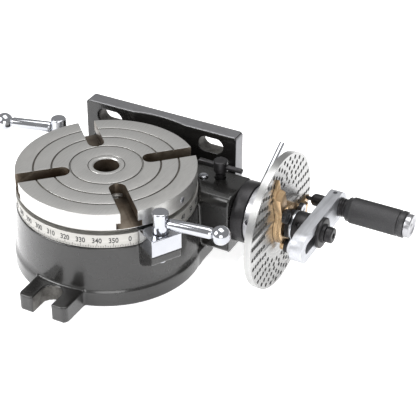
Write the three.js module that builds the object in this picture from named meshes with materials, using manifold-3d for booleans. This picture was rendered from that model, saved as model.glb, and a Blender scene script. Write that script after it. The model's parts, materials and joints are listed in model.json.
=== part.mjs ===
// Horizontal and vertical rotary indexing table: a round T-slotted table on a worm wheel,
// turned by a worm shaft with a dividing plate, sector arms, crank and index plunger.
// Millimetres, +Z up. The origin is on the table's axis, on the plane of the base's underside.
// +X runs along the worm shaft towards the crank, +Y towards the vertical mounting plate.
import * as THREE from 'three';
import { mergeVertices } from 'three/addons/utils/BufferGeometryUtils.js';
import Module from 'manifold-3d';

const wasm = await Module();
wasm.setup();

// ---------------------------------------------------------------- driving dimensions
const GAP = 0.3;                  // running or joint gap between two neighbouring solids
const TOP_Z = 86;                 // table's top face above the base plane
const TABLE_R = 75;
const TABLE_THICK = 15;
const SPIGOT_R = 66;              // groove between the table's rim and the graduated ring
const RING_R = 75.5;
const RING_BOTTOM_Z = 55;
const RING_TOP_Z = 67;
const BORE_R = 10.65;
const BUSH_R = 15;
const GROOVE_RADII = [30, 45, 60];
const SLOT_NECK = 14;
const SLOT_WIDE = 21;
const SLOT_NECK_DEPTH = 9;
const SLOT_DEPTH = 15.8;
const SLOT_END_R = 30.8;

const DRUM_TOP_Z = 54.7;
const DRUM_TOP_R = 76;
const DRUM_LOW_R = 78;
const FOOT_R = 80;
const FOOT_THICK = 15;
const LUG_END = 104;              // distance of the front lug's end from the table axis
const LUG_WIDTH = 45;
const LUG_SLOT = 18;
const LUG_SLOT_INNER = 81;

const PLATE_HALF = 75;            // vertical mounting plate, half its width
const PLATE_FRONT = 88;
const PLATE_BACK = 102;
const PLATE_SLOT_X = 50.5;
const PLATE_SLOT_Z = 73;
const PLATE_SLOT_LONG = 24;
const PLATE_SLOT_HIGH = 14;

const HOUSING = { start: 55, end: 99.5, front: 26, back: 81, bottom: 12, top: 66, slope: 15 };

const WORM_Y = 54;                // worm axis
const WORM_Z = 41;
const MODULE = 1;
const WHEEL_TEETH = 90;
const WHEEL_BOTTOM = 34.3;
const WHEEL_TOP = 48;
const WHEEL_SEAT_R = 30;
const WORM_TIP_R = 8.1;
const WORM_ROOT_R = 6;
const WORM_HALF = 13;
const SHAFT_R = 6;
const ECCENTRIC = [1.88, 0.68];   // sleeve axis from the worm axis, along Y and Z
const SLEEVE_R = 19.7;
const SLEEVE_NOSE_R = 11.4;
const SLEEVE_STEP_X = 66;

// Places along the worm axis are distances from the table axis.
const COLLAR = { start: 99.8, end: 111, radius: 26.5 };
const LEVER = { x: 105.8, angle: 29.5, inner: 22.3, outer: 71, radius: 2.5 };
const HUB = { start: 111.3, end: 128.7, radius: 25, nose: 10 };
const HUB_HOLE = { x: 115, angle: 166 };
const PLATE = { start: 129, end: 135.3, radius: 59 };
const PLATE_SCREW_R = 19;
const SECTOR_THICK = 3.3;
const SECTOR_HUB_R = 18;
const SECTOR_LENGTH = 50.5;       // reach of a sector arm's thin tip
const SECTOR_THICK_FROM = 23.3;   // radii between which a sector arm has its full thickness
const SECTOR_THICK_TO = 40.3;
const SECTOR_TIP_THICK = 2.7;
const SECTOR_WIDE = 11;
const SECTOR_POINT = 9.5;         // how far the tip's counting edge reaches past its other corner
const SECTOR_B_OFFSET = 2.4;
const SECTOR_A_X = PLATE.end + GAP;
const SECTOR_B_X = SECTOR_A_X + SECTOR_THICK + GAP;
const SECTOR_TOP_X = SECTOR_B_X + SECTOR_THICK;
const SECTOR_ANGLES = { a: 106.3, b: 0.8 };
const SECTOR_SCREW_R = 19;
const SECTOR_SCREW_ANGLES = [130, 10, 250];
const SPRING = { start: 142.8, end: 146.5, radius: 12.2 };
const RETAINING_RING = { start: 146.8, end: 149, radius: 12.8 };
const NOSE_END_X = 149.2;
const CRANK_HUB = { start: 149.5, end: 159, radius: 13 };
const HUB_SCREW = { x: 153.5, angle: 140 };
const ARM = { start: 159.3, end: 170.3, width: 25.2, tail: 38.4, slot: 10, slotStart: -25, slotEnd: 14 };
const PIN_CIRCLE_R = 42.5;
const PIN_CIRCLE_HOLES = 41;
const ARM_ANGLE = 0.8;            // crank arm from +Y towards +Z, degrees
const PIN_START_X = 138.6;
const GUIDE_START_X = 144.3;
const GRIP = { start: 177.5, end: 229, radius: 11.3 };
const CAP_SCREW = { start: 141, head: 176.3, end: 182, radius: 6.6, hexagon: 2.9 };

const CLAMP_R = 87;               // clamp post's distance from the table axis
const CLAMP_ANGLES = { front: -30, rear: 150 };
const CLAMP_LEVER_ANGLES = { front: 7, rear: 195 };
const LEVER_LENGTH = 50;

const LOCK_X = 77;
const LOCK_Y = 56;
const OIL_X = 64;
const OIL_Y = 50;

// ---------------------------------------------------------------- materials
const paint = new THREE.MeshStandardMaterial({ color: 0x0d0d0e, roughness: 0.25, metalness: 0 });
const groundSteel = new THREE.MeshStandardMaterial({ color: 0xbfbdb8, roughness: 0.35, metalness: 1 });
const satinSteel = new THREE.MeshStandardMaterial({ color: 0xc8c7c4, roughness: 0.45, metalness: 1 });
const chrome = new THREE.MeshStandardMaterial({ color: 0xe2e4e8, roughness: 0.12, metalness: 1 });
const blackOxide = new THREE.MeshStandardMaterial({ color: 0x26272a, roughness: 0.45, metalness: 0.8 });
const brass = new THREE.MeshStandardMaterial({ color: 0xc9954f, roughness: 0.3, metalness: 1 });
const bronze = new THREE.MeshStandardMaterial({ color: 0xa9773c, roughness: 0.4, metalness: 1 });

// ---------------------------------------------------------------- geometry helpers
const QUARTER = Math.PI / 2;
const radians = THREE.MathUtils.degToRad;
const polar = (radius, angle) => [radius * Math.cos(radians(angle)), radius * Math.sin(radians(angle))];

// Turns local X, Y, Z into world Y, Z, X, so that turned pieces lie along the worm shaft.
const ALONG_X = new THREE.Quaternion().setFromRotationMatrix(new THREE.Matrix4().makeBasis(
  new THREE.Vector3(0, 1, 0), new THREE.Vector3(0, 0, 1), new THREE.Vector3(1, 0, 0)));

function toSolid(geometry) {
  const bare = geometry.clone();
  bare.deleteAttribute('normal');
  bare.deleteAttribute('uv');
  const merged = mergeVertices(bare, 1e-4);
  const corners = merged.index.array;
  const triVerts = [];
  for (let i = 0; i < corners.length; i += 3) {
    const [a, b, c] = [corners[i], corners[i + 1], corners[i + 2]];
    if (a !== b && b !== c && a !== c) triVerts.push(a, b, c);
  }
  const vertProperties = Float32Array.from(merged.attributes.position.array);
  return new wasm.Manifold(new wasm.Mesh({ numProp: 3, vertProperties, triVerts: Uint32Array.from(triVerts) }));
}

function toGeometry(body) {
  const mesh = body.getMesh();
  const geometry = new THREE.BufferGeometry();
  geometry.setAttribute('position', new THREE.BufferAttribute(mesh.vertProperties, 3));
  geometry.setIndex(new THREE.BufferAttribute(mesh.triVerts, 1));
  return geometry;
}

function join(first, ...others) {
  return toGeometry(others.reduce((body, other) => body.add(toSolid(other)), toSolid(first)));
}

function cut(first, ...others) {
  return toGeometry(others.reduce((body, other) => body.subtract(toSolid(other)), toSolid(first)));
}

// Turns a closed profile of [radius, height] points about Z.
function turned(profile, sides = 24) {
  const outline = profile.map(([radius, height]) => new THREE.Vector2(radius, height));
  const last = outline[outline.length - 1];
  if (outline[0].x > 0 || last.x > 0) outline.push(outline[0].clone());
  if (THREE.ShapeUtils.area(outline) < 0) outline.reverse();
  return new THREE.LatheGeometry(outline, sides).rotateX(QUARTER);
}

function disc(radius, bottom, top, sides = 24) {
  return turned([[0, bottom], [radius, bottom], [radius, top], [0, top]], sides);
}

function ring(inner, outer, bottom, top, sides = 24) {
  return turned([[inner, bottom], [outer, bottom], [outer, top], [inner, top]], sides);
}

// Disc with both rims chamfered.
function chamferedDisc(radius, bottom, top, chamfer, sides = 24) {
  return turned([[0, bottom], [radius - chamfer, bottom], [radius, bottom + chamfer],
    [radius, top - chamfer], [radius - chamfer, top], [0, top]], sides);
}

function block(low, high) {
  const size = high.map((value, axis) => value - low[axis]);
  const middle = high.map((value, axis) => (value + low[axis]) / 2);
  return new THREE.BoxGeometry(...size).translate(...middle);
}

// Rectangle from (x0, y0) to (x1, y1) with rounded corners.
function roundedRectangle(x0, y0, x1, y1, corner) {
  const shape = new THREE.Shape();
  shape.absarc(x1 - corner, y0 + corner, corner, -QUARTER, 0);
  shape.absarc(x1 - corner, y1 - corner, corner, 0, QUARTER);
  shape.absarc(x0 + corner, y1 - corner, corner, QUARTER, 2 * QUARTER);
  shape.absarc(x0 + corner, y0 + corner, corner, 2 * QUARTER, 3 * QUARTER);
  return shape;
}

function prism(shape, bottom, top, curveSegments = 4) {
  const depth = top - bottom;
  return new THREE.ExtrudeGeometry(shape, { depth, bevelEnabled: false, curveSegments }).translate(0, 0, bottom);
}

const alongX = (geometry, y = WORM_Y, z = WORM_Z) => geometry.applyQuaternion(ALONG_X).translate(0, y, z);
const alongSleeve = (geometry) => alongX(geometry, WORM_Y + ECCENTRIC[0], WORM_Z + ECCENTRIC[1]);

// ---------------------------------------------------------------- scene graph
const rotaryIndexingTable = new THREE.Group();

function piece(name, geometry, material, parent = rotaryIndexingTable) {
  const mesh = new THREE.Mesh(geometry, material);
  mesh.name = name;
  parent.add(mesh);
  return mesh;
}

// A group whose Z axis is the worm shaft's axis: local X, Y, Z are world Y, Z, X.
function wormLine(offsetY = 0, offsetZ = 0) {
  const group = new THREE.Group();
  group.quaternion.copy(ALONG_X);
  group.position.set(0, WORM_Y + offsetY, WORM_Z + offsetZ);
  rotaryIndexingTable.add(group);
  return group;
}

// ---------------------------------------------------------------- base casting
function footAndDrum() {
  const foot = turned([[0, 0], [FOOT_R - 1, 0], [FOOT_R, 1], [FOOT_R, FOOT_THICK - 2],
    [FOOT_R - 1, FOOT_THICK], [DRUM_LOW_R, FOOT_THICK + 2], [DRUM_TOP_R, DRUM_TOP_Z], [0, DRUM_TOP_Z]], 56);
  const skirt = new THREE.Shape();
  skirt.moveTo(-PLATE_HALF, PLATE_BACK);
  skirt.lineTo(-FOOT_R + 1.5, 15);
  skirt.lineTo(FOOT_R - 1.5, 15);
  skirt.lineTo(PLATE_HALF, PLATE_BACK);
  const neck = block([-66, 20, 0], [66, PLATE_FRONT + 1, DRUM_TOP_Z]);
  return join(foot, prism(skirt, 0, FOOT_THICK), neck);
}

function frontLug() {
  const half = LUG_WIDTH / 2;
  const lug = prism(roundedRectangle(-half, -LUG_END, half, -60, 4), 0, FOOT_THICK);
  const slot = block([-LUG_SLOT / 2, -LUG_END - 5, -1], [LUG_SLOT / 2, -LUG_SLOT_INNER - LUG_SLOT / 2, FOOT_THICK + 1]);
  const slotEnd = disc(LUG_SLOT / 2, -1, FOOT_THICK + 1, 24).translate(0, -LUG_SLOT_INNER - LUG_SLOT / 2, 0);
  return { lug, cutters: [slot, slotEnd] };
}

function mountingPlate() {
  const outline = roundedRectangle(-PLATE_HALF, 0, PLATE_HALF, TOP_Z, 3);
  const half = PLATE_SLOT_LONG / 2;
  for (const side of [-1, 1]) {
    const middle = side * PLATE_SLOT_X;
    const straight = half - PLATE_SLOT_HIGH / 2;
    const hole = new THREE.Path();
    hole.absarc(middle + straight, PLATE_SLOT_Z, PLATE_SLOT_HIGH / 2, -QUARTER, QUARTER);
    hole.absarc(middle - straight, PLATE_SLOT_Z, PLATE_SLOT_HIGH / 2, QUARTER, 3 * QUARTER);
    outline.holes.push(hole);
  }
  const slab = prism(outline, 0, PLATE_BACK - PLATE_FRONT, 6);
  return slab.rotateX(QUARTER).translate(0, PLATE_BACK, 0);
}

// Shallow hollow across the plate's front face, behind the table.
function plateHollow() {
  return disc(PLATE_FRONT + 3.5, DRUM_TOP_Z + 4, TOP_Z + 1, 72);
}

function wormHousing() {
  const profile = new THREE.Shape();
  const { front, back, bottom, top, slope } = HOUSING;
  profile.moveTo(front + 4, bottom);
  profile.lineTo(back - slope, bottom);
  profile.lineTo(back, bottom + slope);
  profile.lineTo(back, top - slope);
  profile.lineTo(back - slope, top);
  profile.lineTo(front + 8, top);
  profile.quadraticCurveTo(front, top, front, top - 8);
  profile.lineTo(front, bottom + 4);
  return alongX(prism(profile, HOUSING.start, HOUSING.end), 0, 0);
}

function clampBoss(angle) {
  const boss = block([70, -13.5, 37], [96, 13.5, DRUM_TOP_Z]);
  const rakedUnderside = block([0, -20, -20], [30, 20, 0]).rotateY(radians(-32)).translate(80, 0, 37);
  return cut(boss, rakedUnderside).rotateZ(radians(angle));
}

const studHole = (angle) => disc(4.3, 41, 60, 20).translate(CLAMP_R, 0, 0).rotateZ(radians(angle));

function baseCasting() {
  const { lug, cutters } = frontLug();
  const bosses = Object.values(CLAMP_ANGLES);
  const plate = cut(mountingPlate(), plateHollow());
  const solid = join(footAndDrum(), lug, plate, wormHousing(), ...bosses.map(clampBoss));
  const wheelChamber = disc(48.5, 30, DRUM_TOP_Z + 1, 40);
  const spindleBore = disc(22.3, 10, 40);
  const nutRecess = disc(36, -1, 16);
  const coverRecess = disc(45, -1, 4.3, 40);
  const sleeveBore = alongSleeve(disc(SLEEVE_R + GAP, SLEEVE_STEP_X - GAP, 120, 32));
  const noseBore = alongSleeve(disc(SLEEVE_NOSE_R + GAP, -33, 70, 24));
  const housingClearance = ring(0.1, RING_R + GAP, DRUM_TOP_Z, TOP_Z + 1, 56);
  const lockBore = disc(4.3, 55, 80, 20).translate(LOCK_X, LOCK_Y, 0);
  const oilBore = disc(3.3, 61.5, 80, 16).translate(OIL_X, OIL_Y, 0);
  const coverHoles = coverScrewPlaces().map(([x, y]) => disc(1.8, 3, 13, 12).translate(x, y, 0));
  return cut(solid, ...cutters, wheelChamber, spindleBore, nutRecess, coverRecess, sleeveBore, noseBore,
    housingClearance, lockBore, oilBore, ...coverHoles, ...bosses.map(studHole));
}

const coverScrewPlaces = () => [30, 150, 270].map((angle) => polar(40.5, angle));

function bottomCover() {
  const holes = coverScrewPlaces().flatMap(([x, y]) => [
    disc(1.8, -1, 5, 8).translate(x, y, 0),
    disc(3.4, -1, 2.5, 12).translate(x, y, 0),
  ]);
  return cut(chamferedDisc(44.7, 0, 4, 0.4, 40), ...holes);
}

const coverScrew = () => turned([[0, 0.6], [3, 0.6], [3, 2.2], [1.5, 2.2], [1.5, 12], [0, 12]], 10);

// ---------------------------------------------------------------- table side
function tableBody() {
  const groove = (radius) => [[radius - 0.6, TOP_Z], [radius, TOP_Z - 0.8], [radius + 0.6, TOP_Z]];
  const top = turned([[0, TOP_Z], ...GROOVE_RADII.flatMap(groove), [TABLE_R - 0.8, TOP_Z], [TABLE_R, TOP_Z - 0.8],
    [TABLE_R, TOP_Z - TABLE_THICK], [SPIGOT_R, TOP_Z - TABLE_THICK], [SPIGOT_R, RING_BOTTOM_Z],
    [0, RING_BOTTOM_Z]], 56);
  const spindle = turned([[0, RING_BOTTOM_Z + 1], [40, RING_BOTTOM_Z + 1], [40, WHEEL_TOP + GAP],
    [WHEEL_SEAT_R, WHEEL_TOP + GAP], [WHEEL_SEAT_R, WHEEL_BOTTOM], [22, WHEEL_BOTTOM], [22, 16.2], [19.7, 16.2],
    [19.7, 7], [0, 7]], 28);
  const bushSeat = disc(BUSH_R + GAP, TOP_Z - 40, TOP_Z + 1);
  const bore = disc(BUSH_R - 3, 0, TOP_Z);
  const slotCutters = [45, 135, 225, 315].flatMap((angle) => tSlot(angle));
  const screwHoles = wheelScrewPlaces().map(([x, y]) => disc(2.3, 30, 53, 8).translate(x, y, 0));
  return cut(join(top, spindle), bushSeat, bore, ...slotCutters, ...screwHoles);
}

function tSlot(angle) {
  const neckFloor = TOP_Z - SLOT_NECK_DEPTH;
  const floor = TOP_Z - SLOT_DEPTH;
  const neckEnd = SLOT_END_R + SLOT_NECK / 2;
  const neck = block([neckEnd, -SLOT_NECK / 2, floor], [TABLE_R + 5, SLOT_NECK / 2, TOP_Z + 1]);
  const neckRound = disc(SLOT_NECK / 2, floor, TOP_Z + 1, 20).translate(neckEnd, 0, 0);
  const wide = block([neckEnd, -SLOT_WIDE / 2, floor], [TABLE_R + 5, SLOT_WIDE / 2, neckFloor]);
  return [neck, neckRound, wide].map((cutter) => cutter.rotateZ(radians(angle)));
}

const wheelScrewPlaces = () => [0, 90, 180, 270].map((angle) => polar(35, angle));

function wormWheel() {
  const outline = new THREE.Shape();
  const tip = WHEEL_TEETH * MODULE / 2 + 0.6;
  const root = tip - 2.1;
  const pitch = 360 / WHEEL_TEETH;
  for (let tooth = 0; tooth < WHEEL_TEETH; tooth += 1) {
    const corners = [[root, 0], [tip, 0.5]];
    for (const [radius, share] of corners) {
      const [x, y] = polar(radius, (tooth + share) * pitch);
      if (tooth === 0 && share === 0) outline.moveTo(x, y);
      else outline.lineTo(x, y);
    }
  }
  const toothed = prism(outline, WHEEL_BOTTOM, WHEEL_TOP);
  const bore = disc(WHEEL_SEAT_R + GAP, 0, 60);
  const holes = wheelScrewPlaces().flatMap(([x, y]) => [
    disc(2.3, 30, 50, 8).translate(x, y, 0),
    disc(3.9, 30, 38.3, 12).translate(x, y, 0),
  ]);
  return cut(toothed, bore, ...holes);
}

const wheelScrew = () => turned([[0, 34.6], [3.5, 34.6], [3.5, 38], [2, 38], [2, 52], [0, 52]], 10);

function centreBush() {
  return turned([[BORE_R, TOP_Z - 0.4], [BORE_R + 0.6, TOP_Z], [BUSH_R - 0.6, TOP_Z], [BUSH_R, TOP_Z - 0.6],
    [BUSH_R, TOP_Z - 39.7], [BORE_R, TOP_Z - 39.7]]);
}

function buildTableSide() {
  piece('rotary_table', tableBody(), groundSteel);
  piece('graduated_ring', turned([[SPIGOT_R + GAP, RING_BOTTOM_Z], [RING_R, RING_BOTTOM_Z],
    [RING_R, RING_TOP_Z - 0.5], [RING_R - 0.5, RING_TOP_Z], [SPIGOT_R + GAP, RING_TOP_Z]], 56), satinSteel);
  piece('centre_bush', centreBush(), groundSteel);
  piece('worm_wheel', wormWheel(), bronze);
  wheelScrewPlaces().forEach(([x, y], index) => {
    piece(`wheel_screw_${index + 1}`, wheelScrew(), blackOxide).position.set(x, y, 0);
  });
  piece('thrust_washer', ring(22.4, 32, 13.6, 15.7), satinSteel);
  piece('spindle_nut', ring(20, 31, 7.3, 13.3, 24), blackOxide);
}

// ---------------------------------------------------------------- worm, sleeve and dividing head
function eccentricSleeve() {
  const outside = turned([[0, -32], [SLEEVE_NOSE_R, -32], [SLEEVE_NOSE_R, SLEEVE_STEP_X], [SLEEVE_R, SLEEVE_STEP_X],
    [SLEEVE_R, COLLAR.end], [0, COLLAR.end]], 32);
  const bore = disc(8.7, -40, COLLAR.end + 1, 24).translate(-ECCENTRIC[0], -ECCENTRIC[1], 0);
  const windowFront = block([-20, -20, -14], [2, 20, 14]);
  const windowTop = block([1, 0, -14], [20, 20, 14]);
  return cut(outside, bore, windowFront, windowTop);
}

// Single-start worm thread: the cross-section of the screw, twisted by one turn for each pitch.
function wormThread() {
  const section = new THREE.Shape();
  const points = 10;
  for (let i = 0; i < points; i += 1) {
    const share = i / points;
    const rise = THREE.MathUtils.clamp((0.42 - Math.abs(share - 0.5)) / 0.16, 0, 1);
    const radius = WORM_ROOT_R + (WORM_TIP_R - WORM_ROOT_R) * rise;
    const [x, y] = polar(radius, share * 360);
    if (i === 0) section.moveTo(x, y);
    else section.lineTo(x, y);
  }
  const steps = 42;
  const thread = new THREE.ExtrudeGeometry(section, { depth: 2 * WORM_HALF, steps, bevelEnabled: false });
  const places = thread.attributes.position;
  const spot = new THREE.Vector3();
  const axis = new THREE.Vector3(0, 0, 1);
  for (let i = 0; i < places.count; i += 1) {
    spot.fromBufferAttribute(places, i);
    spot.applyAxisAngle(axis, 2 * Math.PI * spot.z / (Math.PI * MODULE));
    places.setXYZ(i, spot.x, spot.y, spot.z);
  }
  return thread.translate(0, 0, -WORM_HALF);
}

function wormShaft() {
  const journal = disc(5, -30, -WORM_HALF + 1, 24);
  const shaft = disc(SHAFT_R - 0.1, WORM_HALF - 1, CRANK_HUB.end - 0.3, 24);
  const screwBore = disc(3.3, CAP_SCREW.start - 1, CRANK_HUB.end + 1, 16);
  return cut(join(wormThread(), journal, shaft), screwBore);
}

function platePins() {
  return [80, 200, 320].map((angle) => polar(PLATE_SCREW_R, angle));
}

function plateHub() {
  const body = turned([[SHAFT_R + GAP, HUB.start], [HUB.radius - 0.6, HUB.start], [HUB.radius, HUB.start + 0.6],
    [HUB.radius, HUB.end], [HUB.nose, HUB.end], [HUB.nose, NOSE_END_X], [SHAFT_R + GAP, NOSE_END_X]], 28);
  const setScrewHole = acrossAxis(disc(2.2, 18, 40, 14), HUB_HOLE);
  const screwHoles = platePins().map(([x, y]) => disc(2.3, PLATE.start - 8, HUB.end + 1, 8).translate(x, y, 0));
  return cut(body, setScrewHole, ...screwHoles);
}

// Turns something made along Z to stand out from the worm axis, at a place along it.
function acrossAxis(geometry, place) {
  return geometry.rotateY(QUARTER).rotateZ(radians(place.angle)).translate(0, 0, place.x);
}

const eccentricLever = () => acrossAxis(chamferedDisc(LEVER.radius, LEVER.inner, LEVER.outer, 0.6, 20), LEVER);

function wormCollar() {
  const body = chamferedDisc(COLLAR.radius, COLLAR.start, COLLAR.end, 0.8, 36);
  const sleeveBore = disc(SLEEVE_R + GAP, COLLAR.start - 5, COLLAR.end + 5, 32).translate(...ECCENTRIC, 0);
  return cut(body, sleeveBore, acrossAxis(disc(LEVER.radius + GAP, 0, 40, 16), LEVER));
}

function dividingPlate() {
  const body = turned([[HUB.nose + GAP, PLATE.start], [PLATE.radius - 0.5, PLATE.start],
    [PLATE.radius, PLATE.start + 0.5], [PLATE.radius, PLATE.end - 0.5], [PLATE.radius - 0.5, PLATE.end],
    [HUB.nose + GAP, PLATE.end]], 44);
  const holes = [];
  for (let i = 0; i < PIN_CIRCLE_HOLES; i += 1) {
    const [x, y] = polar(PIN_CIRCLE_R, ARM_ANGLE + i * 360 / PIN_CIRCLE_HOLES);
    holes.push(disc(2, PLATE.start - 1, PLATE.end + 1, 6).translate(x, y, 0));
  }
  const screwHoles = platePins().flatMap(([x, y]) => [
    disc(2.3, PLATE.start - 1, PLATE.end + 1, 8).translate(x, y, 0),
    disc(4.1, PLATE.start + 2.3, PLATE.end + 1, 12).translate(x, y, 0),
  ]);
  return cut(body, ...holes, ...screwHoles);
}

const plateScrew = () => turned([[0, 122], [2, 122], [2, 131.6], [3.8, 131.6], [3.8, 135], [0, 135]], 10);

// One sector arm: a hub ring half as thick as the blade, and a blade that is thin at its tip, where the
// index pin passes over it. side is 1 or -1: on which side of its counting edge the blade's width lies.
function sectorArm(level, angle, side, edge) {
  const root = SECTOR_HUB_R - 5;
  const blade = new THREE.Shape();
  blade.moveTo(root, side * edge);
  blade.lineTo(SECTOR_LENGTH, side * edge);
  blade.lineTo(SECTOR_LENGTH - SECTOR_POINT, side * (edge + SECTOR_WIDE));
  blade.lineTo(root, side * (edge + SECTOR_WIDE));
  const layer = join(disc(SECTOR_HUB_R, level, level + SECTOR_THICK, 36), prism(blade, level, level + SECTOR_THICK));
  const inside = () => disc(SECTOR_THICK_FROM, SECTOR_A_X - 1, SECTOR_TOP_X + 1, 36);
  const outside = () => ring(SECTOR_THICK_TO, PLATE.radius, SECTOR_A_X - 1, SECTOR_TOP_X + 1, 48);
  const hub = cut(layer, outside());
  const thick = cut(prism(blade, SECTOR_A_X, SECTOR_TOP_X), inside(), outside());
  const tip = cut(prism(blade, SECTOR_A_X, SECTOR_A_X + SECTOR_TIP_THICK), inside());
  return join(hub, thick, tip).rotateZ(radians(angle));
}

const noseBore = () => disc(HUB.nose + GAP, SECTOR_A_X - 1, SECTOR_TOP_X + 1, 28);
const sectorScrewPlaces = () => SECTOR_SCREW_ANGLES.map((angle) => polar(SECTOR_SCREW_R, angle));

const sectorScrew = () => turned([[0, SECTOR_TOP_X - 2], [1.6, SECTOR_TOP_X - 2], [1.6, SECTOR_TOP_X + GAP],
  [6, SECTOR_TOP_X + GAP], [6, SECTOR_TOP_X + 3.2], [5.4, SECTOR_TOP_X + 4], [0, SECTOR_TOP_X + 4]], 24);

const sectorArmA = () => cut(sectorArm(SECTOR_A_X, SECTOR_ANGLES.a, 1, 0), noseBore());

// The outer arm's hub has three lobes for the clamping screws.
function sectorArmB() {
  const lobes = sectorScrewPlaces().map(([x, y]) => disc(4, SECTOR_B_X, SECTOR_TOP_X, 20).translate(x, y, 0));
  const screwHole = () => disc(1.9, SECTOR_TOP_X - 2.4, SECTOR_TOP_X + 1, 12);
  const holes = sectorScrewPlaces().map(([x, y]) => screwHole().translate(x, y, 0));
  return cut(join(sectorArm(SECTOR_B_X, SECTOR_ANGLES.b, -1, SECTOR_B_OFFSET), ...lobes), noseBore(), ...holes);
}

function buildDividingHead() {
  const sleeveLine = wormLine(...ECCENTRIC);
  const line = wormLine();
  piece('eccentric_sleeve', eccentricSleeve(), satinSteel, sleeveLine);
  piece('worm_collar', wormCollar(), blackOxide, line);
  piece('front_worm_bush', ring(SHAFT_R + 0.2, 8.4, 70, 108, 20), bronze, line);
  piece('rear_worm_bush', ring(5.3, 8.4, -31, -15, 20), bronze, line);
  piece('worm_shaft', wormShaft(), satinSteel, line);
  piece('plate_hub', plateHub(), satinSteel, line);
  piece('eccentric_lever', eccentricLever(), chrome, line);
  piece('dividing_plate', dividingPlate(), groundSteel, line);
  platePins().forEach(([x, y], index) => {
    piece(`plate_screw_${index + 1}`, plateScrew(), blackOxide, line).position.set(x, y, 0);
  });
  piece('sector_arm_a', sectorArmA(), brass, line);
  piece('sector_arm_b', sectorArmB(), brass, line);
  sectorScrewPlaces().forEach(([x, y], index) => {
    piece(`sector_screw_${index + 1}`, sectorScrew(), chrome, line).position.set(x, y, 0);
  });
  const onNose = ({ start, end, radius }) => ring(HUB.nose + GAP, radius, start, end);
  piece('sector_spring', onNose(SPRING), blackOxide, line);
  piece('sector_retaining_ring', onNose(RETAINING_RING), chrome, line);
  const hubBody = turned([[SHAFT_R + 0.2, CRANK_HUB.start], [CRANK_HUB.radius - 0.6, CRANK_HUB.start],
    [CRANK_HUB.radius, CRANK_HUB.start + 0.6], [CRANK_HUB.radius, CRANK_HUB.end], [SHAFT_R + 0.2, CRANK_HUB.end]]);
  piece('crank_hub', cut(hubBody, acrossAxis(disc(1.9, 4, 20, 12), HUB_SCREW)), blackOxide, line);
}

// ---------------------------------------------------------------- crank and index plunger
function slotOutline(from, to, half) {
  const slot = new THREE.Shape();
  slot.absarc(to, 0, half, -QUARTER, QUARTER);
  slot.absarc(from, 0, half, QUARTER, 3 * QUARTER);
  return slot;
}

function crankArm() {
  const half = ARM.width / 2;
  const outline = slotOutline(-ARM.tail + half, PIN_CIRCLE_R, half);
  outline.holes.push(slotOutline(ARM.slotStart, ARM.slotEnd, ARM.slot / 2));
  const body = prism(outline, ARM.start, ARM.end, 10);
  const guideBore = disc(7.1, ARM.start - 1, ARM.end + 1, 24).translate(PIN_CIRCLE_R, 0, 0);
  const clampHole = disc(1.9, 0, 20, 12).rotateX(-QUARTER).translate(PIN_CIRCLE_R, 0, (ARM.start + ARM.end) / 2);
  return cut(body, guideBore, clampHole);
}

function plungerGuide() {
  const front = GUIDE_START_X;
  const collar = ARM.end + GAP;
  const back = GRIP.start - 0.6;
  const outside = [[0, front], [4.6, front], [5.4, front + 0.8], [5.4, 158.4], [6.8, 158.4], [6.8, collar],
    [8.2, collar], [8.2, collar + 2], [7.4, collar + 2.6], [8.2, collar + 3.2], [8.2, back], [6.6, back],
    [6.6, 198], [0, 198]];
  const bore = disc(2.2, front - 1, 200, 16);
  const springBore = disc(4.4, 162, 200, 20);
  return cut(turned(outside, 20), bore, springBore);
}

// Coil spring round the index pin, inside the guide.
class Coil extends THREE.Curve {
  constructor(radius, length, turns) {
    super();
    Object.assign(this, { radius, length, turns });
  }

  getPoint(share, target = new THREE.Vector3()) {
    const [x, y] = polar(this.radius, 360 * this.turns * share);
    return target.set(x, y, this.length * share);
  }
}

function plungerSpring() {
  const wire = new THREE.Shape();
  wire.absarc(0, 0, 0.45, 0, 2 * Math.PI);
  const extrudePath = new Coil(3.3, 34, 7);
  return new THREE.ExtrudeGeometry(wire, { steps: 56, extrudePath, curveSegments: 2, bevelEnabled: false })
    .translate(0, 0, 164);
}

function indexPin() {
  return turned([[0, PIN_START_X], [0.9, PIN_START_X], [1.8, PIN_START_X + 1.4], [1.8, 163], [2.4, 165],
    [2.4, 217], [0, 217]], 12);
}

function knurledGrip() {
  const { start, end, radius } = GRIP;
  const outside = [[0, start], [radius - 1.6, start], [radius - 1, start + 1], [radius - 1, start + 3],
    [radius, start + 4], [radius, end - 6], [radius - 0.8, end - 5.4], [radius - 0.8, end - 4.6],
    [radius, end - 4], [radius, end], [0, end]];
  return cut(turned(outside, 24), disc(6.9, start - 1, 208, 20), disc(2.7, 200, 219, 12),
    disc(7.5, end - 4, end + 1, 20));
}

function gripEndCap() {
  const { end } = GRIP;
  return turned([[0, end - 3.6], [7.1, end - 3.6], [7.1, end + 0.4], [9.8, end + 0.4], [9.8, end + 4.8],
    [9, end + 5.5], [0, end + 5.5]], 28);
}

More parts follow.
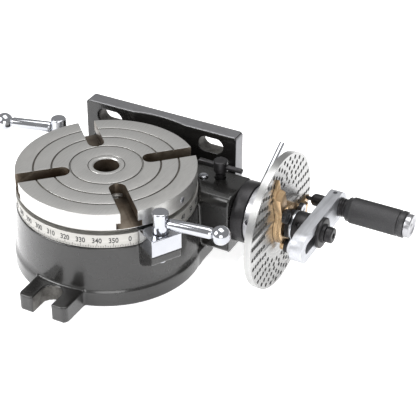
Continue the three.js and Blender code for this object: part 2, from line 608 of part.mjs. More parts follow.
function buildCrank() {
  const line = wormLine();
  const arm = new THREE.Group();
  arm.rotation.z = radians(ARM_ANGLE);
  line.add(arm);
  piece('crank_arm', crankArm(), satinSteel, arm);
  const plunger = new THREE.Group();
  plunger.position.x = PIN_CIRCLE_R;
  arm.add(plunger);
  piece('plunger_guide', plungerGuide(), blackOxide, plunger);
  piece('plunger_spring', plungerSpring(), satinSteel, plunger);
  piece('index_pin', indexPin(), blackOxide, plunger);
  piece('knurled_grip', knurledGrip(), blackOxide, plunger);
  piece('grip_end_cap', gripEndCap(), satinSteel, plunger);
  const washer = ARM.end + GAP;
  piece('crank_washer', turned([[3.3, washer], [13, washer], [13, washer + 2.5], [12.4, washer + 3],
    [8, washer + 3], [8, CAP_SCREW.head - GAP], [3.3, CAP_SCREW.head - GAP]]), blackOxide, line);
  const { start, head, end, radius, hexagon } = CAP_SCREW;
  const screw = turned([[0, start], [3, start], [3, head], [radius, head], [radius, end - 0.6], [radius - 0.6, end],
    [0, end]], 28);
  piece('crank_cap_screw', cut(screw, disc(hexagon, end - 4, end + 3, 6)), blackOxide, line);
}

// ---------------------------------------------------------------- clamps, lock screw, small parts
function clampBlock() {
  const body = block([RING_R + 1, -13.5, DRUM_TOP_Z + GAP], [97, 13.5, 69.6]);
  const lip = block([68.5, -13.5, RING_TOP_Z + 0.4], [RING_R + 2, 13.5, 69.6]);
  return cut(join(body, lip), disc(4.4, 50, 75, 20).translate(CLAMP_R, 0, 0));
}

const clampPost = () => cut(
  turned([[0, 42], [4, 42], [4, 69.9], [6.6, 69.9], [6.6, 87.4], [6, 88.4], [0, 88.4]], 20),
  disc(3.3, 1.5, 10, 16).rotateY(QUARTER).translate(0, 0, 78.5));

function clampLever() {
  const rod = turned([[0, 1.8], [3, 1.8], [3, 7], [4.4, 7], [4.7, 9], [4.7, LEVER_LENGTH - 8],
    [3.6, LEVER_LENGTH - 6], [3.6, LEVER_LENGTH], [0, LEVER_LENGTH]], 16).rotateY(QUARTER);
  const ball = new THREE.SphereGeometry(7.8, 16, 10).rotateZ(QUARTER).translate(LEVER_LENGTH, 0, 0);
  return join(rod, ball).translate(0, 0, 78.5);
}

function buildClamps() {
  for (const [side, angle] of Object.entries(CLAMP_ANGLES)) {
    const spot = polar(CLAMP_R, angle);
    const blockMesh = piece(`clamp_block_${side}`, clampBlock(), chrome);
    blockMesh.rotation.z = radians(angle);
    const turning = new THREE.Group();
    turning.position.set(...spot, 0);
    turning.rotation.z = radians(CLAMP_LEVER_ANGLES[side]);
    rotaryIndexingTable.add(turning);
    piece(`clamp_post_${side}`, clampPost(), chrome, turning);
    piece(`clamp_lever_${side}`, clampLever(), chrome, turning);
  }
}

function buildSmallParts() {
  const screw = turned([[0, 62.2], [3.9, 62.2], [3.9, 68], [4.2, 68], [4.2, 71], [6, 72.4], [6, 81.8], [5.4, 82.5],
    [0, 82.5]], 24);
  const cross = disc(2.5, -20, 20, 16).rotateY(QUARTER).translate(0, 0, 77);
  piece('worm_lock_screw', cut(screw, cross), blackOxide).position.set(LOCK_X, LOCK_Y, 0);
  piece('tommy_bar', chamferedDisc(2.2, -20, 20, 0.5, 16).rotateY(QUARTER), blackOxide)
    .position.set(LOCK_X, LOCK_Y, 77);
  const plug = turned([[0, 62], [3, 62], [3, 66.3], [4, 66.3], [4, 67.2], [3.4, 67.8], [0, 67.8]], 20);
  piece('oil_plug', plug, chrome).position.set(OIL_X, OIL_Y, 0);
}

function buildBase() {
  piece('base_casting', baseCasting(), paint);
  piece('bottom_cover', bottomCover(), satinSteel);
  coverScrewPlaces().forEach(([x, y], index) => {
    piece(`bottom_cover_screw_${index + 1}`, coverScrew(), blackOxide).position.set(x, y, 0);
  });
}

buildBase();
buildTableSide();
buildDividingHead();
buildCrank();
buildClamps();
buildSmallParts();

export default rotaryIndexingTable;
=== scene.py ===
"""Looks of the rotary indexing table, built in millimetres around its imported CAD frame."""
import json
import math

import bmesh
import bpy
from mathutils import Matrix, Vector
from mathutils.geometry import tessellate_polygon


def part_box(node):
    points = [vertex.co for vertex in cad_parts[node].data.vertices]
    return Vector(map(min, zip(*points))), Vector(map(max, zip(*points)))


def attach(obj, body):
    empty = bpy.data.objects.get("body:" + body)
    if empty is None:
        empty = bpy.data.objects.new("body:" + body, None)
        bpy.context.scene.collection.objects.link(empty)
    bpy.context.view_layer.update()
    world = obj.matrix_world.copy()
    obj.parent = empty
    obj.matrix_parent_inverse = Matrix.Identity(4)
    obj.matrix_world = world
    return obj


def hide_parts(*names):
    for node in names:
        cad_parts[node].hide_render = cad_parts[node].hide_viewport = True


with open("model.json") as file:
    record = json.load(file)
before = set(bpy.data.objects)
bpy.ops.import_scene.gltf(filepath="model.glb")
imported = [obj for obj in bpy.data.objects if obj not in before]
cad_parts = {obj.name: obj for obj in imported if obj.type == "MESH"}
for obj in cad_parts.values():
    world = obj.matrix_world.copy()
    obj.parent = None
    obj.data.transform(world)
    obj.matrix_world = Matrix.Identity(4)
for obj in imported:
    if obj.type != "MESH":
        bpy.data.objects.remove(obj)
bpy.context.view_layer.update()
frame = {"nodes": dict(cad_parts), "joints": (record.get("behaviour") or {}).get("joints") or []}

MM = 0.001
X, Y, Z = 0, 1, 2


def low(node, axis):
    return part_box(node)[0][axis] / MM


def high(node, axis):
    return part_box(node)[1][axis] / MM


def middle(node, axis):
    return (low(node, axis) + high(node, axis)) / 2


def joint(name):
    return next(j for j in frame["joints"] if j["name"] == name)


# ---------------------------------------------------------------- sizes, from the frame where it has them
TOP_Z = high("rotary_table", Z)
TABLE_R = high("rotary_table", X)
RIM_THICK = 15
RING_R = high("graduated_ring", X)
RING_LOW = low("graduated_ring", Z)
RING_HIGH = high("graduated_ring", Z)
SPIGOT_R = 66
BUSH_R = high("centre_bush", X)
BORE_R = 10.65
GROOVE_RADII = (30, 45, 60)
SLOT_ANGLES = (45, 135, 225, 315)
SLOT_NECK = 14
SLOT_WIDE = 21
SLOT_NECK_DEPTH = 9
SLOT_DEPTH = 14.4
SLOT_END_R = 30.8
SCALE_ZERO = -45          # direction of the scale's zero mark

WORM_Y, WORM_Z = (value / MM for value in joint("crank_spin")["pos_m"][1:])
SLEEVE_Y, SLEEVE_Z = (value / MM for value in joint("worm_release")["pos_m"][1:])
ARM_ANGLE = math.degrees(math.asin(joint("crank_radius")["axis"][Z]))
PIN_R = 42.5
PLATE_R = (high("dividing_plate", Y) - low("dividing_plate", Y)) / 2
HOLE_COUNTS = (21, 23, 27, 29, 31, 33)
HOLE_R = 1.9
CIRCLE_STEP = 4.25
PIN_CIRCLE_INDEX = 2
NOSE_R = 10
LEVER_X = 105.8
LEVER_ANGLE = 29.5
HUB_HOLE_ANGLE = 166
HUB_SCREW_ANGLE = 140
SECTOR_SCREWS = (130, 10, 250)
SECTOR_SCREW_R = 19
SECTOR_LOW = low("sector_arm_a", X)
SECTOR_HIGH = high("sector_arm_b", X)
SECTOR_THICK = 3.3
SECTOR_TIP_THICK = 2.7
SECTOR_TIP_R = 50.5
SECTOR_RAKED_R = 41
SECTOR_ROOT_R = 14
SECTOR_WIDE = 11
SECTOR_HUB_R = 18
SECTOR_CLEAR_R = 23.3
SECTOR_STEP_R = 40.3
SECTOR_B_OFFSET = 2.4
SECTOR_ANGLES = (106.3, 0.8)
ARM_HALF = 12.6
ARM_TAIL_CENTRE = -25.8
ARM_SLOT = (-25, 14, 5)    # its two end centres and half its width
CLEARANCE = 0.3
RIM_SCREW_ANGLE = -5

DRUM_TOP = 54.7
FOOT_R = 80
FOOT_THICK = 15
LUG_HALF = 22.5
LUG_END = 104
LUG_SLOT_HALF = 9
UPRIGHT_HALF = 75          # the upright mounting plate
UPRIGHT_BACK = 102
UPRIGHT_THICK = 14
UPRIGHT_SLOT_X = 50.5
UPRIGHT_SLOT_Z = 73
HOUSING_START, HOUSING_END = 50, 99.5
BOSS_HALF = 13.5
CLAMP_R = 87
CLAMP_HOLE_R = 4.4
CLAMPS = {"front": (-30, 7), "rear": (150, 195)}    # directions of each post and of its lever
LOCK_SCREW_AT = (77, 56)
OIL_PLUG_AT = (64, 50)

ON_TABLE = Matrix.Identity(4)
SIDEWAYS = Matrix.Rotation(math.pi / 2, 4, "Y")
ON_EDGE = Matrix.Rotation(math.pi / 2, 4, "X")
BASIS_X = Matrix(((0, 0, 1, 0), (1, 0, 0, 0), (0, 1, 0, 0), (0, 0, 0, 1)))   # local Z lies along world X
ON_WORM = Matrix.Translation((0, WORM_Y, WORM_Z)) @ BASIS_X
ON_ARM = ON_WORM @ Matrix.Rotation(math.radians(ARM_ANGLE), 4, "Z")
ON_PIN = ON_ARM @ Matrix.Translation((PIN_R, 0, 0))


def turn_z(degrees):
    return Matrix.Rotation(math.radians(degrees), 4, "Z")


def shift(x=0, y=0, z=0):
    return Matrix.Translation((x, y, z))


def polar(radius, degrees):
    angle = math.radians(degrees)
    return radius * math.cos(angle), radius * math.sin(angle)


# ---------------------------------------------------------------- mesh helpers
def mesh_object(name, bm, place=ON_TABLE):
    """Links a bmesh made in millimetres as an object in metres."""
    bmesh.ops.transform(bm, matrix=Matrix.Scale(MM, 4) @ place, verts=bm.verts)
    bmesh.ops.recalc_face_normals(bm, faces=bm.faces)
    mesh = bpy.data.meshes.new(name)
    bm.to_mesh(mesh)
    bm.free()
    obj = bpy.data.objects.new(name, mesh)
    bpy.context.scene.collection.objects.link(obj)
    return obj


def apply_modifiers(obj):
    graph = bpy.context.evaluated_depsgraph_get()
    mesh = bpy.data.meshes.new_from_object(obj.evaluated_get(graph))
    obj.modifiers.clear()
    obj.data = mesh
    return obj


def boolean(obj, others, operation="DIFFERENCE"):
    for other in others:
        modifier = obj.modifiers.new("Boolean", "BOOLEAN")
        modifier.operation = operation
        modifier.object = other
        modifier.solver = "EXACT"
    apply_modifiers(obj)
    for other in others:
        bpy.data.objects.remove(other)
    return obj


def bevelled(obj, width, segments=2, angle=40):
    modifier = obj.modifiers.new("Bevel", "BEVEL")
    modifier.width = width * MM
    modifier.segments = segments
    modifier.limit_method = "ANGLE"
    modifier.angle_limit = math.radians(angle)
    modifier.miter_outer = "MITER_ARC"
    return apply_modifiers(obj)


def shaded(obj, sharp=32):
    """Smooth faces, with edges sharp where the surface turns by more than the angle."""
    bm = bmesh.new()
    bm.from_mesh(obj.data)
    limit = math.radians(sharp)
    for face in bm.faces:
        face.smooth = True
    for edge in bm.edges:
        edge.smooth = len(edge.link_faces) == 2 and edge.calc_face_angle(0) < limit
    bm.to_mesh(obj.data)
    bm.free()
    return obj


def finish_piece(obj, look, body, nodes=(), sharp=32):
    """Gives a piece its material, and lets it ride on its body in place of its CAD nodes."""
    if not obj.data.materials:
        obj.data.materials.append(look)
    shaded(obj, sharp)
    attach(obj, body)
    if nodes:
        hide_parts(*nodes)
    return obj


def softened(points, radius=0.3, loop=False):
    """Rounds each corner of a profile over the given distance."""
    rounded = []
    count = len(points)
    for i, point in enumerate(points):
        here = Vector(point)
        if not loop and i in (0, count - 1):
            rounded.append(here)
            continue
        back = Vector(points[i - 1]) - here
        ahead = Vector(points[(i + 1) % count]) - here
        if back.angle(ahead) > math.radians(160):
            rounded.append(here)
            continue
        reach = min(radius, back.length * 0.45, ahead.length * 0.45)
        start = here + back.normalized() * reach
        end = here + ahead.normalized() * reach
        for share in (0, 0.33, 0.67, 1):
            rounded.append(start.lerp(here, share).lerp(here.lerp(end, share), share))
    return rounded


def turned_mesh(points, sides=96, ripple=None):
    """A profile of (radius, height) points turned about Z; ripple gives each side's radius offset."""
    bm = bmesh.new()
    rings = []
    angles = [2 * math.pi * i / sides for i in range(sides)]
    for radius, height in points:
        if radius < 1e-6:
            rings.append([bm.verts.new((0, 0, height))])
            continue
        offsets = [ripple(i, radius, height) if ripple else 0 for i in range(sides)]
        rings.append([bm.verts.new(((radius + d) * math.cos(a), (radius + d) * math.sin(a), height))
                      for a, d in zip(angles, offsets)])
    pairs = list(zip(rings, rings[1:]))
    if len(rings[0]) > 1 and len(rings[-1]) > 1:
        pairs.append((rings[-1], rings[0]))
    for first, second in pairs:
        for i in range(sides):
            j = (i + 1) % sides
            corners = [first[i % len(first)], first[j % len(first)]]
            corners += [second[j % len(second)], second[i % len(second)]]
            unique = [v for k, v in enumerate(corners) if v not in corners[:k]]
            if len(unique) > 2:
                bm.faces.new(unique)
    return bm


def turned(name, profile, place=ON_TABLE, sides=96, soft=0.3, ripple=None):
    loop = profile[0][0] > 0
    return mesh_object(name, turned_mesh(softened(profile, soft, loop), sides, ripple), place)


def disc(radius, bottom, top, place=ON_TABLE, sides=64):
    points = ((0, bottom), (radius, bottom), (radius, top), (0, top))
    return mesh_object("cutter", turned_mesh(points, sides), place)


def block(lowest, highest, place=ON_TABLE):
    bm = bmesh.new()
    bmesh.ops.create_cube(bm, size=1)
    size = [b - a for a, b in zip(lowest, highest)]
    centre = [(a + b) / 2 for a, b in zip(lowest, highest)]
    bmesh.ops.transform(bm, matrix=Matrix.Translation(centre) @ Matrix.Diagonal((*size, 1)), verts=bm.verts)
    return mesh_object("block", bm, place)


def slab(name, loops, bottom, top, place=ON_TABLE):
    """A flat plate: the first outline is its edge and the others are holes."""
    bm = bmesh.new()
    flat = [point for loop in loops for point in loop]
    lower = [bm.verts.new((x, y, bottom)) for x, y in flat]
    upper = [bm.verts.new((x, y, top)) for x, y in flat]
    for triangle in tessellate_polygon([[Vector((x, y, 0)) for x, y in loop] for loop in loops]):
        bm.faces.new([lower[i] for i in triangle])
        bm.faces.new([upper[i] for i in triangle])
    first = 0
    for loop in loops:
        for i in range(len(loop)):
            a, b = first + i, first + (i + 1) % len(loop)
            bm.faces.new((lower[a], lower[b], upper[b], upper[a]))
        first += len(loop)
    return mesh_object(name, bm, place)


def arc(centre, radius, start, end, steps=12):
    """Points of an arc, from one angle to another in degrees."""
    return [(centre[0] + dx, centre[1] + dy)
            for dx, dy in (polar(radius, start + (end - start) * i / steps) for i in range(steps + 1))]


def circle(centre, radius, sides=16):
    return arc(centre, radius, 0, 360 - 360 / sides, sides - 1)


def stadium(left, right, half, steps=16):
    """Outline of a slot along X with round ends centred at left and right."""
    return arc((right, 0), half, -90, 90, steps) + arc((left, 0), half, 90, 270, steps)


def rounded_rectangle(x0, y0, x1, y1, corner, steps=8):
    return (arc((x1 - corner, y0 + corner), corner, -90, 0, steps)
            + arc((x1 - corner, y1 - corner), corner, 0, 90, steps)
            + arc((x0 + corner, y1 - corner), corner, 90, 180, steps)
            + arc((x0 + corner, y0 + corner), corner, 180, 270, steps))


class Look:
    """A node material that is built step by step."""

    def __init__(self, name, color, metallic, roughness):
        self.material = bpy.data.materials.new(name)
        self.material.use_nodes = True
        self.tree = self.material.node_tree
        self.shader = self.tree.nodes["Principled BSDF"]
        self.color = (*color, 1)
        self.shader.inputs["Base Color"].default_value = self.color
        self.shader.inputs["Metallic"].default_value = metallic
        self.shader.inputs["Roughness"].default_value = roughness
        self.height = None

    def node(self, kind, **values):
        made = self.tree.nodes.new(kind)
        for key, value in values.items():
            if key in made.inputs:
                made.inputs[key].default_value = value
            else:
                setattr(made, key, value)
        return made

    def link(self, source, target):
        self.tree.links.new(source, target)

    def coordinates(self, stretch=(1, 1, 1)):
        """Object coordinates, stretched along X, Y and Z."""
        source = self.node("ShaderNodeTexCoord").outputs["Object"]
        mapping = self.node("ShaderNodeMapping")
        mapping.inputs["Scale"].default_value = stretch
        self.link(source, mapping.inputs["Vector"])
        return mapping.outputs["Vector"]

    def turning_coordinates(self, centre, axis):
        """Radius and height about an axis, in a vector, so that a noise of it makes turning marks."""
        source = self.node("ShaderNodeTexCoord").outputs["Object"]
        offset = self.node("ShaderNodeVectorMath", operation="SUBTRACT")
        self.link(source, offset.inputs[0])
        offset.inputs[1].default_value = [value * MM for value in centre]
        parts = self.node("ShaderNodeSeparateXYZ")
        self.link(offset.outputs[0], parts.inputs[0])
        across = [parts.outputs[i] for i in range(3) if i != axis]
        flat = self.node("ShaderNodeCombineXYZ")
        self.link(across[0], flat.inputs[0])
        self.link(across[1], flat.inputs[1])
        radius = self.node("ShaderNodeVectorMath", operation="LENGTH")
        self.link(flat.outputs[0], radius.inputs[0])
        result = self.node("ShaderNodeCombineXYZ")
        self.link(radius.outputs["Value"], result.inputs[0])
        self.link(parts.outputs[axis], result.inputs[1])
        return result.outputs[0]

    def noise(self, scale, detail=3, vector=None, roughness=0.55):
        made = self.node("ShaderNodeTexNoise", Scale=scale, Detail=detail, Roughness=roughness)
        self.link(vector or self.coordinates(), made.inputs["Vector"])
        return made.outputs["Fac"]

    def ramp(self, value, start, end):
        """Maps noise to a clamped 0..1 range."""
        made = self.node("ShaderNodeMapRange")
        made.inputs["From Min"].default_value = start
        made.inputs["From Max"].default_value = end
        self.link(value, made.inputs["Value"])
        return made.outputs["Result"]

    def vary_color(self, factor, other):
        mix = self.node("ShaderNodeMix", data_type="RGBA")
        socket = self.shader.inputs["Base Color"]
        colors = [entry for entry in mix.inputs if entry.type == "RGBA"]
        if socket.is_linked:
            self.link(socket.links[0].from_socket, colors[0])
        else:
            colors[0].default_value = self.color
        colors[1].default_value = (*other, 1)
        self.link(factor, mix.inputs[0])
        self.link([entry for entry in mix.outputs if entry.type == "RGBA"][0], socket)
        return self

    def vary_roughness(self, factor, smooth, rough):
        made = self.node("ShaderNodeMapRange")
        made.inputs["To Min"].default_value = smooth
        made.inputs["To Max"].default_value = rough
        self.link(factor, made.inputs["Value"])
        self.link(made.outputs["Result"], self.shader.inputs["Roughness"])
        return self

    def bump(self, height, strength, depth):
        """Adds relief of the given depth in millimetres."""
        made = self.node("ShaderNodeBump", Strength=strength, Distance=depth * MM)
        self.link(height, made.inputs["Height"])
        if self.height:
            self.link(self.height, made.inputs["Normal"])
        self.height = made.outputs["Normal"]
        self.link(self.height, self.shader.inputs["Normal"])
        return self


def gloss_paint():
    look = Look("gloss_paint", (0.009, 0.0085, 0.008), 0, 0.2)
    look.shader.inputs["Coat Weight"].default_value = 0.5
    look.shader.inputs["Coat Roughness"].default_value = 0.12
    look.vary_roughness(look.ramp(look.noise(35, 4), 0.3, 0.7), 0.2, 0.34)
    look.bump(look.noise(260, 2), 0.25, 0.12)
    look.bump(look.noise(45, 3), 0.3, 0.35)
    look.vary_color(look.ramp(look.noise(420, 5), 0.62, 0.8), (0.02, 0.02, 0.02))
    return look.material


def machined_iron():
    look = Look("machined_iron", (0.3, 0.3, 0.31), 0.9, 0.42)
    strokes = look.noise(300, 3, look.coordinates(stretch=(1, 8, 8)))
    look.vary_color(look.ramp(strokes, 0.3, 0.75), (0.2, 0.2, 0.21))
    look.vary_roughness(look.noise(90, 4), 0.34, 0.52)
    look.bump(strokes, 0.3, 0.08)
    return look.material


def bare_casting():
    # Bare cast iron in the base's slots; on the table it darkens the grooves as painted shade.
    look = Look("bare_casting", (0.15, 0.145, 0.135), 0.65, 0.55)
    look.vary_color(look.ramp(look.noise(220, 5), 0.4, 0.7), (0.07, 0.065, 0.06))
    look.bump(look.noise(400, 4), 0.6, 0.3)
    return look.material


def ground_table():
    look = Look("ground_table", (0.6, 0.595, 0.58), 0.92, 0.36)
    grain = look.noise(900, 4, look.coordinates(stretch=(1, 0.15, 1)))
    rings = look.noise(1400, 2, look.turning_coordinates((0, 0, 0), Z))
    look.vary_color(look.ramp(grain, 0.35, 0.75), (0.5, 0.495, 0.48))
    look.vary_color(look.ramp(look.noise(14, 3), 0.45, 0.75), (0.6, 0.59, 0.57))
    look.vary_roughness(look.ramp(grain, 0.3, 0.7), 0.3, 0.46)
    look.bump(grain, 0.25, 0.04)
    look.bump(rings, 0.2, 0.03)
    return look.material


def oily_slot():
    # Dark brown, partly oil and partly painted shade in the recesses of the T-slots and the centre bore.
    look = Look("oily_slot", (0.085, 0.06, 0.04), 0.7, 0.4)
    look.vary_color(look.ramp(look.noise(60, 5), 0.35, 0.7), (0.2, 0.17, 0.135))
    look.vary_roughness(look.noise(120, 3), 0.25, 0.55)
    look.bump(look.noise(500, 3), 0.3, 0.1)
    return look.material


def turned_steel():
    look = Look("turned_steel", (0.5, 0.5, 0.495), 1, 0.3)
    marks = look.noise(2600, 2, look.turning_coordinates((0, WORM_Y, WORM_Z), X))
    look.vary_color(look.ramp(marks, 0.3, 0.75), (0.38, 0.38, 0.375))
    look.vary_roughness(look.ramp(marks, 0.25, 0.75), 0.24, 0.4)
    look.bump(marks, 0.3, 0.03)
    return look.material


def scale_ring():
    look = Look("scale_ring", (0.5, 0.49, 0.465), 0.8, 0.42)
    marks = look.noise(1500, 2, look.turning_coordinates((0, 0, 0), Z))
    look.vary_color(look.ramp(marks, 0.3, 0.8), (0.42, 0.41, 0.385))
    look.vary_roughness(marks, 0.36, 0.5)
    look.bump(marks, 0.2, 0.03)
    return look.material


def scale_ink():
    look = Look("scale_ink", (0.012, 0.012, 0.014), 0, 0.5)
    look.vary_color(look.ramp(look.noise(700, 3), 0.4, 0.7), (0.03, 0.03, 0.032))
    look.bump(look.noise(900, 2), 0.2, 0.03)
    return look.material


def satin_steel(name="brushed_steel", color=(0.48, 0.48, 0.5), stretch=(1, 1, 1), dull=0):
    look = Look(name, color, 1, 0.34)
    grain = look.noise(700, 4, look.coordinates(stretch=stretch))
    look.vary_color(look.ramp(grain, 0.3, 0.75), [value * 0.82 for value in color])
    look.vary_roughness(look.ramp(look.noise(80, 3), 0.3, 0.7), 0.26 + dull, 0.42 + dull)
    look.bump(grain, 0.25, 0.05)
    return look.material


def chrome():
    look = Look("polished_chrome", (0.5, 0.51, 0.54), 1, 0.12)
    look.vary_roughness(look.ramp(look.noise(60, 5), 0.35, 0.75), 0.07, 0.2)
    look.vary_color(look.ramp(look.noise(25, 3), 0.4, 0.8), (0.42, 0.43, 0.46))
    look.bump(look.noise(240, 3), 0.12, 0.05)
    return look.material


def blackened_steel():
    look = Look("blackened_steel", (0.035, 0.034, 0.036), 0.75, 0.36)
    look.vary_color(look.ramp(look.noise(700, 3), 0.4, 0.75), (0.05, 0.048, 0.049))
    look.vary_roughness(look.noise(90, 4), 0.28, 0.5)
    look.bump(look.noise(800, 3), 0.25, 0.05)
    return look.material


def knurled_black():
    look = Look("knurled_black", (0.05, 0.05, 0.053), 0.7, 0.42)
    look.vary_color(look.ramp(look.noise(1500, 2), 0.4, 0.75), (0.075, 0.073, 0.073))
    look.vary_roughness(look.noise(200, 3), 0.35, 0.55)
    look.bump(look.noise(1200, 2), 0.3, 0.05)
    return look.material


def sector_brass():
    look = Look("sector_brass", (0.66, 0.47, 0.28), 1, 0.3)
    grain = look.noise(500, 4, look.coordinates(stretch=(1, 1, 0.1)))
    look.vary_color(look.ramp(grain, 0.3, 0.75), (0.5, 0.34, 0.19))
    look.vary_roughness(look.ramp(look.noise(90, 4), 0.3, 0.7), 0.22, 0.4)
    look.bump(grain, 0.25, 0.05)
    return look.material


def bearing_bronze():
    look = Look("bearing_bronze", (0.45, 0.27, 0.11), 1, 0.36)
    look.vary_color(look.ramp(look.noise(150, 4), 0.35, 0.7), (0.32, 0.18, 0.07))
    look.vary_roughness(look.noise(200, 3), 0.3, 0.45)
    look.bump(look.noise(700, 3), 0.2, 0.05)
    return look.material


PAINT = gloss_paint()
MACHINED = machined_iron()
CASTING_AND_GROOVE_SHADE = bare_casting()
GROUND = ground_table()
OIL_AND_SHADE = oily_slot()
TURNED = turned_steel()
SCALE = scale_ring()
INK = scale_ink()
SATIN = satin_steel()
ARM_STEEL = satin_steel("satin_arm", (0.62, 0.63, 0.66), (1, 0.12, 1), 0.16)
CHROME = chrome()
BLACK = blackened_steel()
KNURL = knurled_black()
BRASS = sector_brass()
BRONZE = bearing_bronze()


# ---------------------------------------------------------------- table
def t_slot_cutters(angle):
    floor, neck_floor = TOP_Z - SLOT_DEPTH, TOP_Z - SLOT_NECK_DEPTH
    start = SLOT_END_R + SLOT_NECK / 2
    end = TABLE_R + 5
    neck = slab("cutter", [stadium(start, end, SLOT_NECK / 2)], floor, TOP_Z + 1, turn_z(angle))
    wide = slab("cutter", [stadium(start, end, SLOT_WIDE / 2)], floor, neck_floor, turn_z(angle))
    return neck, wide


def mark_slots(obj):
    """Gives the walls and floors of the T-slots a dark oil-brown, partly oil and partly painted shade, and
    the grooves the darker bare-casting material as painted shade.
    """
    obj.data.materials.append(GROUND)
    obj.data.materials.append(OIL_AND_SHADE)
    obj.data.materials.append(CASTING_AND_GROOVE_SHADE)
    for face in obj.data.polygons:
        x, y, z = (value / MM for value in face.center)
        radius = math.hypot(x, y)
        inside = SLOT_END_R - 0.5 < radius < TABLE_R - 0.6
        below = TOP_Z - SLOT_DEPTH - 0.3 < z < TOP_Z - 0.5
        # The grooves take the darker bare-casting material as painted shade.
        groove_shade = any(abs(radius - groove) < 0.72 for groove in GROOVE_RADII) and z > TOP_Z - 1
        if groove_shade:
            face.material_index = 2
        elif inside and below:
            face.material_index = 1


def rotary_table():
    rim_low = TOP_Z - RIM_THICK
    groove = lambda r: [(r - 0.75, TOP_Z), (r - 0.5, TOP_Z - 1), (r + 0.5, TOP_Z - 1), (r + 0.75, TOP_Z)]
    grooves = [point for radius in GROOVE_RADII for point in groove(radius)]
    profile = [(BUSH_R + 0.4, TOP_Z), *grooves, (TABLE_R, TOP_Z), (TABLE_R, rim_low), (SPIGOT_R, rim_low),
               (SPIGOT_R, RING_LOW), (40, RING_LOW), (40, 48.3), (30, 48.3), (30, 34.3), (22, 34.3),
               (22, 16.2), (19.7, 16.2), (19.7, 7), (12, 7), (12, TOP_Z - 40), (BUSH_R + 0.4, TOP_Z - 40)]
    obj = turned("table_top", profile, sides=192, soft=0.35)
    cutters = [cutter for angle in SLOT_ANGLES for cutter in t_slot_cutters(angle)]
    boolean(obj, cutters)
    bevelled(obj, 0.25, 2, 55)
    mark_slots(obj)
    return finish_piece(obj, GROUND, "table", ["rotary_table"])


def centre_bush():
    profile = [(BORE_R, TOP_Z - 1), (BORE_R + 1, TOP_Z), (BUSH_R - 0.3, TOP_Z), (BUSH_R - 0.05, TOP_Z - 0.4),
               (BUSH_R, TOP_Z - 39.7), (BORE_R, TOP_Z - 39.7)]
    obj = turned("bush_insert", profile, sides=128, soft=0.15)
    obj.data.materials.append(GROUND)
    obj.data.materials.append(OIL_AND_SHADE)
    # The bore below its chamfer takes the dark oil-brown as painted shade.
    for face in obj.data.polygons:
        if face.center.z / MM < TOP_Z - 1.2:
            face.material_index = 1
    return finish_piece(obj, GROUND, "table", ["centre_bush"])


def graduated_ring():
    inner = SPIGOT_R + CLEARANCE
    profile = [(inner, RING_LOW), (RING_R, RING_LOW), (RING_R, RING_HIGH), (inner, RING_HIGH)]
    obj = turned("scale_drum", profile, sides=192, soft=0.4)
    return finish_piece(obj, SCALE, "table", ["graduated_ring"])


def tick_box(bm, degrees, height, width=0.42):
    """A thin raised line up from the ring's lower edge."""
    half = math.degrees(width / 2 / RING_R)
    bottom = RING_LOW + 0.5
    corners = [(*polar(radius, degrees + side), z) for radius in (RING_R - 0.2, RING_R + 0.06)
               for side in (-half, half) for z in (bottom, bottom + height)]
    verts = [bm.verts.new(corner) for corner in corners]
    for face in ((0, 1, 3, 2), (4, 6, 7, 5), (0, 4, 5, 1), (2, 3, 7, 6), (0, 2, 6, 4), (1, 5, 7, 3)):
        bm.faces.new([verts[i] for i in face])


def numeral_points(text):
    """Mesh of a number, as vertices in millimetres and faces."""
    curve = bpy.data.curves.new("numeral", "FONT")
    curve.body = text
    curve.size = 6.5
    curve.offset = 0.13
    curve.align_x = "CENTER"
    curve.extrude = 0.12
    curve.resolution_u = 3
    obj = bpy.data.objects.new("numeral", curve)
    bpy.context.scene.collection.objects.link(obj)
    graph = bpy.context.evaluated_depsgraph_get()
    mesh = bpy.data.meshes.new_from_object(obj.evaluated_get(graph))
    vertices = [tuple(v.co) for v in mesh.vertices]
    faces = [tuple(p.vertices) for p in mesh.polygons]
    bpy.data.objects.remove(obj)
    return vertices, faces


def scale_markings():
    bm = bmesh.new()
    for degree in range(360):
        height = 3.4 if degree % 10 == 0 else 2.6 if degree % 5 == 0 else 1.6
        tick_box(bm, SCALE_ZERO + degree, height)
    for degree in range(0, 360, 10):
        vertices, faces = numeral_points(str(degree))
        verts = []
        for x, y, z in vertices:
            angle = SCALE_ZERO + degree + math.degrees(x * 0.82 / RING_R)
            verts.append(bm.verts.new((*polar(RING_R - 0.05 + z, angle), RING_LOW + 4.7 + y)))
        for face in faces:
            bm.faces.new([verts[i] for i in face])
    bmesh.ops.remove_doubles(bm, verts=bm.verts, dist=1e-4)
    obj = mesh_object("scale_numerals", bm)
    return finish_piece(obj, INK, "table")


def rim_screw():
    place = turn_z(RIM_SCREW_ANGLE) @ shift(z=TOP_Z - 8.2) @ SIDEWAYS
    head = [(0, TABLE_R - 6), (2.6, TABLE_R - 6), (2.6, TABLE_R + 0.25), (1.6, TABLE_R + 0.5),
            (0, TABLE_R + 0.6)]
    obj = turned("rim_screw", head, place, 40, 0.25)
    return finish_piece(obj, CHROME, "table")


# ---------------------------------------------------------------- base casting
def foot_and_drum():
    profile = [(0, 0), (FOOT_R - 0.5, 0), (FOOT_R, 1), (FOOT_R, FOOT_THICK - 2), (FOOT_R - 1.2, FOOT_THICK),
               (78.6, FOOT_THICK + 0.8), (78, FOOT_THICK + 3), (76, DRUM_TOP), (0, DRUM_TOP)]
    return turned("base", profile, sides=160, soft=0.8)


def skirt():
    outline = [(-UPRIGHT_HALF, UPRIGHT_BACK), (-78.5, 15), (78.5, 15), (UPRIGHT_HALF, UPRIGHT_BACK)]
    return slab("skirt", [outline], 0, FOOT_THICK)


def front_lug():
    outline = rounded_rectangle(-LUG_HALF, -LUG_END, LUG_HALF, -60, 4)
    lug = slab("lug", [outline], 0, FOOT_THICK)
    slot = slab("cutter", [stadium(-120, -90, LUG_SLOT_HALF)], -1, FOOT_THICK + 1, turn_z(90))
    return lug, slot


